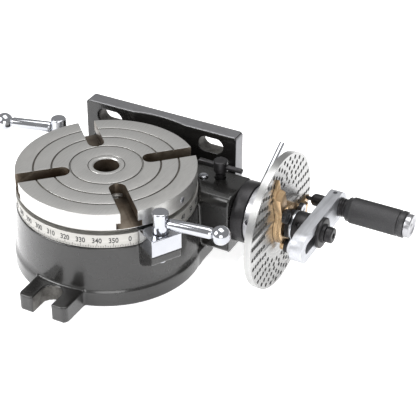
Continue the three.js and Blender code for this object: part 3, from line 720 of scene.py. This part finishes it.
def mounting_plate():
    outline = rounded_rectangle(-UPRIGHT_HALF, 0, UPRIGHT_HALF, TOP_Z, 3)
    slot = stadium(-5, 5, 7)
    holes = [[(x + side * UPRIGHT_SLOT_X, y + UPRIGHT_SLOT_Z) for x, y in slot] for side in (-1, 1)]
    upright = shift(y=UPRIGHT_BACK) @ ON_EDGE
    plate = slab("plate", [outline, *holes], 0, UPRIGHT_THICK, upright)
    return boolean(plate, [disc(91.5, DRUM_TOP + 4, TOP_Z + 1, sides=160)])


def worm_housing():
    outline = [(30, 12), (66, 12), (81, 27), (81, 51), (66, 66), (34, 66), (29.5, 65), (27, 62.5), (26, 58),
               (26, 16)]
    return slab("housing", [outline], HOUSING_START, HOUSING_END, BASIS_X)


def clamp_boss(angle):
    boss = block((70, -BOSS_HALF, 37), (96, BOSS_HALF, DRUM_TOP), turn_z(angle))
    tilt = Matrix.Rotation(math.radians(-32), 4, "Y")
    rake = block((0, -20, -20), (30, 20, 0), turn_z(angle) @ shift(80, 0, 37) @ tilt)
    return boolean(boss, [rake])


def hollows():
    along = lambda radius, start, end: disc(radius, start, end, shift(0, SLEEVE_Y, SLEEVE_Z) @ BASIS_X)
    cutters = [disc(48.5, 30, DRUM_TOP + 1), disc(22.3, 10, 40), disc(36, -1, 16), disc(45, -1, 4.3),
               along(20, 65.7, 120), along(11.7, -33, 70), disc(4.3, 55, 80, shift(*LOCK_SCREW_AT)),
               disc(3.3, 61.5, 80, shift(*OIL_PLUG_AT))]
    cutters += [disc(CLAMP_HOLE_R, 41, 60, turn_z(angle) @ shift(CLAMP_R))
                for angle, lever in CLAMPS.values()]
    return cutters


def table_clearance():
    return disc(RING_R + 0.4, DRUM_TOP, TOP_Z + 1, sides=160)


def finish_faces(obj):
    """Paint all over, machined metal on the mounting faces, and bare casting in the slots."""
    for look in (PAINT, MACHINED, CASTING_AND_GROOVE_SHADE):
        obj.data.materials.append(look)
    for face in obj.data.polygons:
        x, y, z = (value / MM for value in face.center)
        on_plate = y > 87.3
        top = on_plate and z > TOP_Z - 0.6 and face.normal.z > 0.7
        end = on_plate and abs(x) > UPRIGHT_HALF - 0.7 and abs(face.normal.x) > 0.7
        back = y > UPRIGHT_BACK - 0.7 and face.normal.y > 0.7
        under = z < 0.5 and face.normal.z < -0.7
        seat = abs(z - DRUM_TOP) < 0.6 and face.normal.z > 0.7 and math.hypot(x, y) < 74.5
        slot_x = abs(abs(x) - UPRIGHT_SLOT_X)
        slot_z = abs(z - UPRIGHT_SLOT_Z)
        plate_slot = 88.8 < y < 101.2 and slot_x < 12.6 and slot_z < 7.6 and z < TOP_Z - 2
        lug_slot = abs(x) < 9.7 and -103 < y < -80.5 and 0.8 < z < FOOT_THICK - 0.8
        if top or end or back or under or seat:
            face.material_index = 1
        elif plate_slot or lug_slot:
            face.material_index = 2


def base_casting():
    lug, slot = front_lug()
    base = foot_and_drum()
    parts = [skirt(), lug, mounting_plate(), worm_housing(), block((-66, 20, 0), (66, 90, DRUM_TOP))]
    parts += [clamp_boss(angle) for angle, lever in CLAMPS.values()]
    boolean(base, parts, "UNION")
    boolean(base, [slot, table_clearance(), *hollows()])
    remesh = base.modifiers.new("Remesh", "REMESH")
    remesh.mode = "VOXEL"
    remesh.voxel_size = 0.9 * MM
    apply_modifiers(base)
    smooth = base.modifiers.new("Smooth", "SMOOTH")
    smooth.factor = 0.5
    smooth.iterations = 4
    apply_modifiers(base)
    base.name = "cast_base"
    finish_faces(base)
    return finish_piece(base, PAINT, "base", ["base_casting"], sharp=180)


# ---------------------------------------------------------------- clamps and small parts
def clamp_block(side, angle):
    lip_low, top = RING_HIGH + 0.4, high(f"clamp_block_{side}", Z)
    outline = [(RING_R + 1, DRUM_TOP + 0.3), (97, DRUM_TOP + 0.3), (97, top), (68.5, top), (68.5, lip_low),
               (RING_R + 1, lip_low)]
    upright = turn_z(angle) @ shift(y=BOSS_HALF) @ ON_EDGE
    obj = slab(f"clamp_jaw_{side}", [outline], 0, 2 * BOSS_HALF, upright)
    boolean(obj, [disc(CLAMP_HOLE_R, 50, 75, turn_z(angle) @ shift(CLAMP_R))])
    bevelled(obj, 0.7, 3)
    return finish_piece(obj, CHROME, "base", [f"clamp_block_{side}"])


def clamp_handle(side, angle, lever_angle):
    body = f"clamp_{side}"
    place = shift(*polar(CLAMP_R, angle)) @ turn_z(lever_angle)
    lever_z = joint(f"clamp_{side}_turn")["pos_m"][Z] / MM
    top = high(f"clamp_post_{side}", Z)
    profile = [(0, 42), (4, 42), (4, 69.9), (6.6, 69.9), (6.6, top - 0.8), (5.8, top), (0, top)]
    post = turned(f"stud_{side}", profile, place, 64, 0.6)
    sideways = place @ shift(z=lever_z) @ SIDEWAYS
    boolean(post, [disc(3.3, 1.5, 10, sideways)])
    finish_piece(post, CHROME, body, [f"clamp_post_{side}"])
    ball_turns = [math.radians(t) for t in range(30, 180, 6)]
    ball = [(7.8 * math.sin(t), 50 - 7.8 * math.cos(t)) for t in ball_turns]
    rod = [(0, 1.8), (3, 1.8), (3, 6.8), (4.2, 6.9), (4.7, 9), (4.7, 41.4), ball[0]]
    lever = turned(f"ball_lever_{side}", [*rod, *ball[1:], (0, 57.8)], sideways, 64, 0.5)
    finish_piece(lever, CHROME, body, [f"clamp_lever_{side}"])


def lock_screw():
    x, y = middle("worm_lock_screw", X), middle("worm_lock_screw", Y)
    bottom, top = low("worm_lock_screw", Z), high("worm_lock_screw", Z)
    profile = [(0, bottom), (3.9, bottom), (3.9, 68), (4.4, 68.2), (4.4, 70.5), (6, 72.4), (6, top - 0.7),
               (5.3, top), (0, top)]
    obj = turned("lock_screw_body", profile, shift(x, y), 48, 0.4)
    bar_z = joint("lock_screw_turn")["pos_m"][Z] / MM
    sideways = shift(x, y, bar_z) @ SIDEWAYS
    boolean(obj, [disc(2.5, -20, 20, sideways)])
    finish_piece(obj, BLACK, "lock_screw", ["worm_lock_screw"])
    bar = turned("lock_bar_rod", [(0, -20), (2.2, -20), (2.2, 20), (0, 20)], sideways, 40, 0.6)
    finish_piece(bar, BLACK, "lock_bar", ["tommy_bar"])


def oil_plug():
    x, y, top = middle("oil_plug", X), middle("oil_plug", Y), high("oil_plug", Z)
    profile = [(0, 62), (3, 62), (3, 66.3), (4, 66.3), (4, 67), (3.2, top), (0, top)]
    obj = turned("oil_screw", profile, shift(x, y), 48, 0.2)
    boolean(obj, [block((-5, -0.5, top - 0.7), (5, 0.5, top + 1), shift(x, y) @ turn_z(35))])
    return finish_piece(obj, CHROME, "base", ["oil_plug"])


# ---------------------------------------------------------------- dividing head
def across_worm(radius, inner, outer, place, angle):
    """A round cutter that stands out from the worm axis."""
    stand = ON_WORM @ shift(z=place) @ turn_z(angle) @ SIDEWAYS
    return disc(radius, inner, outer, stand, 32)


def worm_collar():
    start, end = low("worm_collar", X), high("worm_collar", X)
    radius = (high("worm_collar", Y) - low("worm_collar", Y)) / 2
    profile = [(0, start), (radius, start), (radius, end), (0, end)]
    obj = turned("bearing_collar", profile, ON_WORM, 128, 0.8)
    boolean(obj, [disc(20, start - 5, end + 5, shift(0, SLEEVE_Y, SLEEVE_Z) @ BASIS_X)])
    boolean(obj, [across_worm(2.8, 0, 40, LEVER_X, LEVER_ANGLE)])
    return finish_piece(obj, BLACK, "sleeve", ["worm_collar"])


def plate_hub():
    start, nose_end = low("plate_hub", X), high("plate_hub", X)
    radius = (high("plate_hub", Y) - low("plate_hub", Y)) / 2
    seat = low("dividing_plate", X) - 0.3
    profile = [(6.3, start), (radius, start), (radius, seat), (NOSE_R, seat), (NOSE_R, nose_end),
               (6.3, nose_end)]
    obj = turned("index_hub", profile, ON_WORM, 128, 0.5)
    boolean(obj, [across_worm(2.2, 18, 40, start + 3.7, HUB_HOLE_ANGLE)])
    return finish_piece(obj, SATIN, "sleeve", ["plate_hub"])


def eccentric_lever():
    place = ON_WORM @ shift(z=LEVER_X) @ turn_z(LEVER_ANGLE) @ SIDEWAYS
    obj = turned("release_lever", [(0, 22.3), (2.5, 22.3), (2.5, 71), (0, 71)], place, 40, 0.6)
    return finish_piece(obj, CHROME, "sleeve", ["eccentric_lever"])


def dividing_plate():
    start, end = low("dividing_plate", X), high("dividing_plate", X)
    outline = circle((0, 0), PLATE_R, 160)
    holes = [circle((0, 0), NOSE_R + 0.3, 48)]
    for index, count in enumerate(HOLE_COUNTS):
        radius = PIN_R + CIRCLE_STEP * (index - PIN_CIRCLE_INDEX)
        holes += [circle(polar(radius, ARM_ANGLE + 360 * i / count), HOLE_R, 14) for i in range(count)]
    obj = slab("index_plate", [outline, *holes], start, end, ON_WORM)
    bevelled(obj, 0.25, 2, 60)
    return finish_piece(obj, TURNED, "sleeve", ["dividing_plate"])


def sector_blade(name, angle, side, edge):
    """The blade of a sector arm, with a turned step down to its thin tip."""
    near, far = side * edge, side * (edge + SECTOR_WIDE)
    outline = [(SECTOR_ROOT_R, near), (SECTOR_TIP_R, near), (SECTOR_RAKED_R, far), (SECTOR_ROOT_R, far)]
    blade = slab(name, [outline], SECTOR_LOW, SECTOR_HIGH, ON_WORM @ turn_z(angle))
    tip = SECTOR_LOW + SECTOR_TIP_THICK
    step = [(SECTOR_STEP_R, tip), (70, tip), (70, SECTOR_HIGH + 1), (38.2, SECTOR_HIGH + 1)]
    return boolean(blade, [mesh_object("cutter", turned_mesh(step, 160), ON_WORM)])


def sector_arm(node, body, angle, side, edge, lobes=()):
    """A brass arm: its hub is half as thick as its blade, so that the two hubs stack."""
    level = low(node, X) if node.endswith("a") else SECTOR_HIGH - SECTOR_THICK
    obj = sector_blade(node + "_blade", angle, side, edge)
    clear = (level + SECTOR_THICK, SECTOR_HIGH + 1) if node.endswith("a") else (SECTOR_LOW - 1, level)
    boolean(obj, [disc(SECTOR_CLEAR_R, *clear, ON_WORM, 96)])
    top = level + SECTOR_THICK
    hubs = [disc(SECTOR_HUB_R, level, top, ON_WORM, 96)]
    hubs += [disc(4.4, level, top, ON_WORM @ shift(*polar(SECTOR_SCREW_R, lobe))) for lobe in lobes]
    boolean(obj, hubs, "UNION")
    holes = [disc(NOSE_R + 0.3, SECTOR_LOW - 1, SECTOR_HIGH + 1, ON_WORM, 64)]
    holes += [disc(1.9, SECTOR_HIGH - 2.4, SECTOR_HIGH + 1, ON_WORM @ shift(*polar(SECTOR_SCREW_R, lobe)), 24)
              for lobe in lobes]
    boolean(obj, holes)
    bevelled(obj, 0.35, 2, 28)
    return finish_piece(obj, BRASS, body, [node])


def sector_screw(index, angle):
    """A clamping screw with a dark side and a bright face; the first one is ribbed."""
    node = f"sector_screw_{index}"
    start, end = low(node, X), high(node, X)
    seat = SECTOR_HIGH + CLEARANCE
    place = ON_WORM @ shift(*polar(SECTOR_SCREW_R, angle))

    def ribs(side, r, height):
        ribbed = index == 1 and side % 4 < 2 and r > 5.8 and height < end - 0.6
        return -0.35 if ribbed else 0

    profile = [(0, start), (1.6, start), (1.6, seat), (6, seat), (6, seat + 0.3), (6, end - 0.7), (5.6, end),
               (2.7, end), (2.3, end - 0.5), (0, end - 0.5)]
    obj = turned(f"sector_bolt_{index}", profile, place, 72, 0.2, ribs)
    obj.data.materials.append(CHROME)
    obj.data.materials.append(BLACK)
    for face in obj.data.polygons:
        if index == 1 or abs(face.normal.x) < 0.5:
            face.material_index = 1
    return finish_piece(obj, CHROME, "sector_b", [node])


def sector_spring():
    start, end = low("sector_spring", X), high("sector_spring", X)
    ribs = [(11.5 + 0.7 * math.sin(math.pi * t / 8) ** 2, start + (end - start) * t / 24) for t in range(25)]
    obj = turned("ribbed_spring", [(NOSE_R + 0.3, start), *ribs, (NOSE_R + 0.3, end)], ON_WORM, 80, 0.1)
    return finish_piece(obj, BLACK, "sleeve", ["sector_spring"], sharp=50)


def worm_line_ring(name, node, profile, look, body, soft=0.3, sides=96):
    obj = turned(name, profile, ON_WORM, sides, soft)
    return finish_piece(obj, look, body, [node])


def retaining_ring():
    start, end = low("sector_retaining_ring", X), high("sector_retaining_ring", X)
    profile = [(NOSE_R + 0.3, start), (12.8, start), (12.8, end), (NOSE_R + 0.3, end)]
    return worm_line_ring("snap_ring", "sector_retaining_ring", profile, CHROME, "sleeve", 0.4)


def crank_hub():
    start, end = low("crank_hub", X), high("crank_hub", X)
    obj = turned("crank_boss", [(6.2, start), (13, start), (13, end), (6.2, end)], ON_WORM, 96, 0.6)
    boolean(obj, [across_worm(1.9, 5, 20, start + 4, HUB_SCREW_ANGLE)])
    return finish_piece(obj, BLACK, "worm", ["crank_hub"])


# ---------------------------------------------------------------- crank
def crank_arm():
    start, end = low("crank_arm", X), high("crank_arm", X)
    outline = stadium(ARM_TAIL_CENTRE, PIN_R, ARM_HALF, 32)
    slot = stadium(*ARM_SLOT)
    obj = slab("crank_bar", [outline, slot, circle((PIN_R, 0), 7.1, 40)], start, end, ON_ARM)
    upward = Matrix.Rotation(-math.pi / 2, 4, "X")
    hole = disc(1.9, 0, 20, ON_ARM @ shift(PIN_R, 0, (start + end) / 2) @ upward, 24)
    boolean(obj, [hole])
    bevelled(obj, 0.7, 3, 50)
    return finish_piece(obj, ARM_STEEL, "crank", ["crank_arm"])


def plunger_guide():
    start, end = low("plunger_guide", X), high("plunger_guide", X)
    shoulder = high("crank_arm", X) + 0.3
    grooves = [point for step in (1.6, 3.6) for point in
               [(8.2, shoulder + step), (7.2, shoulder + step + 0.4), (7.2, shoulder + step + 1.1),
                (8.2, shoulder + step + 1.5)]]
    back = low("knurled_grip", X) - 0.6
    profile = [(2.2, start), (3.4, start), (5.4, start + 2.2), (5.4, 158.4), (6.8, 158.6), (6.8, shoulder),
               (8.2, shoulder), *grooves, (8.2, back), (6.6, back), (6.6, end), (4.4, end), (4.4, 162),
               (2.2, 162)]
    obj = turned("plunger_sleeve", profile, ON_PIN, 72, 0.3)
    return finish_piece(obj, BLACK, "crank", ["plunger_guide"])


def index_pin():
    start, end = low("index_pin", X), high("index_pin", X)
    profile = [(0, start), (0.9, start), (1.8, start + 1.4), (1.8, 163), (2.4, 165), (2.4, end), (0, end)]
    obj = turned("plunger_pin", profile, ON_PIN, 40, 0.3)
    return finish_piece(obj, BLACK, "plunger", ["index_pin"])


def knurled_grip():
    """Grip with diamond knurling cut as two opposed sets of spiral grooves."""
    start, end = low("knurled_grip", X), high("knurled_grip", X)
    radius, teeth, sides, pitch = 11.3, 48, 240, 1.5
    knurl_start, knurl_end = start + 4.5, end - 7

    def ripple(side, r, height):
        if r < radius - 0.05 or not knurl_start < height < knurl_end:
            return 0
        around = teeth * side / sides
        along = (height - knurl_start) / pitch
        first = abs((around + along) % 1 - 0.5)
        second = abs((around - along) % 1 - 0.5)
        return -0.7 * max(0, 0.5 - 2.2 * min(first, second))

    steps = 120
    barrel = [(radius, knurl_start - 0.01)]
    barrel += [(radius, knurl_start + (knurl_end - knurl_start) * i / steps) for i in range(steps + 1)]
    barrel.append((radius, knurl_end + 0.01))
    profile = [(6.9, start), (radius - 1.6, start), (radius - 0.9, start + 0.8), (radius - 0.9, start + 3),
               (radius - 0.2, start + 3.8), *barrel, (radius, end - 6), (radius - 0.8, end - 5.5),
               (radius - 0.8, end - 4.6), (radius, end - 4.1), (radius, end - 0.3), (radius - 0.3, end),
               (7.5, end),
               (7.5, end - 4), (2.7, end - 4), (2.7, end - 21), (6.9, end - 21)]
    obj = mesh_object("grip_barrel", turned_mesh(profile, sides, ripple), ON_PIN)
    return finish_piece(obj, KNURL, "plunger", ["knurled_grip"], sharp=45)


def grip_end_cap():
    start, end = low("grip_end_cap", X), high("grip_end_cap", X)
    face = high("knurled_grip", X) + 0.4
    profile = [(0, start), (7.1, start), (7.1, face), (10.1, face), (10.1, end - 0.7), (9.4, end), (7, end),
               (6.2, end - 0.8), (2.5, end - 0.8), (2.2, end - 0.2), (0, end - 0.2)]
    obj = turned("grip_cap", profile, ON_PIN, 80, 0.3)
    return finish_piece(obj, SATIN, "plunger", ["grip_end_cap"])


def crank_washer():
    start, end = low("crank_washer", X), high("crank_washer", X)
    profile = [(3.3, start), (13, start), (13, start + 2.6), (12.2, start + 3), (8, start + 3), (8, end),
               (3.3, end)]
    return worm_line_ring("crank_collar", "crank_washer", profile, BLACK, "worm", 0.5)


def crank_cap_screw():
    start, end = low("crank_cap_screw", X), high("crank_cap_screw", X)
    head = end - 5.7
    ribs = lambda side, r, height: -0.18 if side % 2 and r > 6 and head + 0.8 < height < end - 1.4 else 0
    profile = [(0, start), (3, start), (3, head), (6.6, head), (6.6, head + 0.9), (6.6, end - 1.5),
               (6.6, end - 0.6), (6, end), (0, end)]
    obj = turned("cap_screw", profile, ON_WORM, 96, 0.25, ribs)
    boolean(obj, [disc(2.9, end - 4, end + 3, ON_WORM, 6)])
    return finish_piece(obj, BLACK, "worm", ["crank_cap_screw"])


# ---------------------------------------------------------------- hidden CAD pieces
HIDDEN_LOOKS = {
    "worm_wheel": BRONZE, "front_worm_bush": BRONZE, "rear_worm_bush": BRONZE, "worm_shaft": SATIN,
    "eccentric_sleeve": SATIN, "thrust_washer": SATIN, "bottom_cover": SATIN, "plunger_spring": SATIN,
    "spindle_nut": BLACK,
}


def hidden_pieces():
    for name, obj in frame["nodes"].items():
        if obj.hide_render:
            continue
        look = HIDDEN_LOOKS.get(name, BLACK)
        obj.data.materials.clear()
        obj.data.materials.append(look)


# ---------------------------------------------------------------- studio
def floor():
    bm = bmesh.new()
    bmesh.ops.create_grid(bm, x_segments=1, y_segments=1, size=2500)
    obj = mesh_object("studio_floor", bm, shift(z=low("dividing_plate", Z) - 0.2))
    look = Look("floor_paper", (0.9, 0.9, 0.9), 0, 0.8)
    look.vary_color(look.ramp(look.noise(3, 2), 0.4, 0.6), (0.89, 0.89, 0.9))
    look.shader.inputs["Emission Color"].default_value = (1, 1, 1, 1)
    look.shader.inputs["Emission Strength"].default_value = 0.75
    obj.data.materials.append(look.material)
    return look.material


def plinth(look):
    top, bottom = -0.05, low("dividing_plate", Z) - 0.2
    outline = rounded_rectangle(-600, -500, 104, 600, 4)
    obj = slab("studio_plinth", [outline], bottom, top)
    bevelled(obj, 1.0, 3)
    obj.data.materials.append(look)
    shaded(obj)


def area_light(name, place, target, size, power, color=(1, 1, 1)):
    data = bpy.data.lights.new(name, "AREA")
    data.shape = "RECTANGLE"
    data.size, data.size_y = size
    data.energy = power
    data.color = color
    obj = bpy.data.objects.new(name, data)
    obj.location = place
    obj.rotation_euler = (Vector(target) - Vector(place)).to_track_quat("-Z", "Y").to_euler()
    bpy.context.scene.collection.objects.link(obj)


def lights():
    middle_point = (0.03, 0.0, 0.04)
    area_light("key_left", (-0.9, -0.9, 1.0), middle_point, (0.9, 0.9), 17)
    area_light("front_right", (0.9, -1.5, 0.6), middle_point, (1.0, 0.8), 11)
    area_light("overhead", (0.1, 0.2, 1.6), middle_point, (1.4, 1.0), 15)
    world = bpy.data.worlds.new("studio")
    world.use_nodes = True
    world.node_tree.nodes["Background"].inputs["Color"].default_value = (1, 1, 1, 1)
    world.node_tree.nodes["Background"].inputs["Strength"].default_value = 0.42
    bpy.context.scene.world = world
    bpy.context.scene.view_settings.view_transform = "Standard"


def camera():
    """The camera's place and turn were solved once from the object's known circles and edges."""
    data = bpy.data.cameras.new("camera")
    data.sensor_width = 36
    data.lens = 111.25
    obj = bpy.data.objects.new("camera", data)
    azimuth, elevation, roll = (math.radians(a) for a in (27.477, 33.232, 0.385))
    turn = Matrix.Rotation(azimuth, 4, "Z") @ Matrix.Rotation(math.pi / 2 - elevation, 4, "X")
    turn = turn @ Matrix.Rotation(roll, 4, "Z")
    obj.matrix_world = Matrix.Translation((0.4908, -0.7623, 0.6354)) @ turn
    bpy.context.scene.collection.objects.link(obj)
    bpy.context.scene.camera = obj


# ---------------------------------------------------------------- assembly
camera()
base_casting()
rotary_table()
centre_bush()
graduated_ring()
scale_markings()
rim_screw()
for clamp_side, (clamp_angle, clamp_lever) in CLAMPS.items():
    clamp_block(clamp_side, clamp_angle)
    clamp_handle(clamp_side, clamp_angle, clamp_lever)
lock_screw()
oil_plug()
worm_collar()
plate_hub()
eccentric_lever()
dividing_plate()
sector_arm("sector_arm_a", "sector_a", SECTOR_ANGLES[0], 1, 0)
sector_arm("sector_arm_b", "sector_b", SECTOR_ANGLES[1], -1, SECTOR_B_OFFSET, SECTOR_SCREWS)
for number, screw_angle in enumerate(SECTOR_SCREWS, 1):
    sector_screw(number, screw_angle)
sector_spring()
retaining_ring()
crank_hub()
crank_arm()
plunger_guide()
index_pin()
knurled_grip()
grip_end_cap()
crank_washer()
crank_cap_screw()
hidden_pieces()
plinth(floor())
lights()
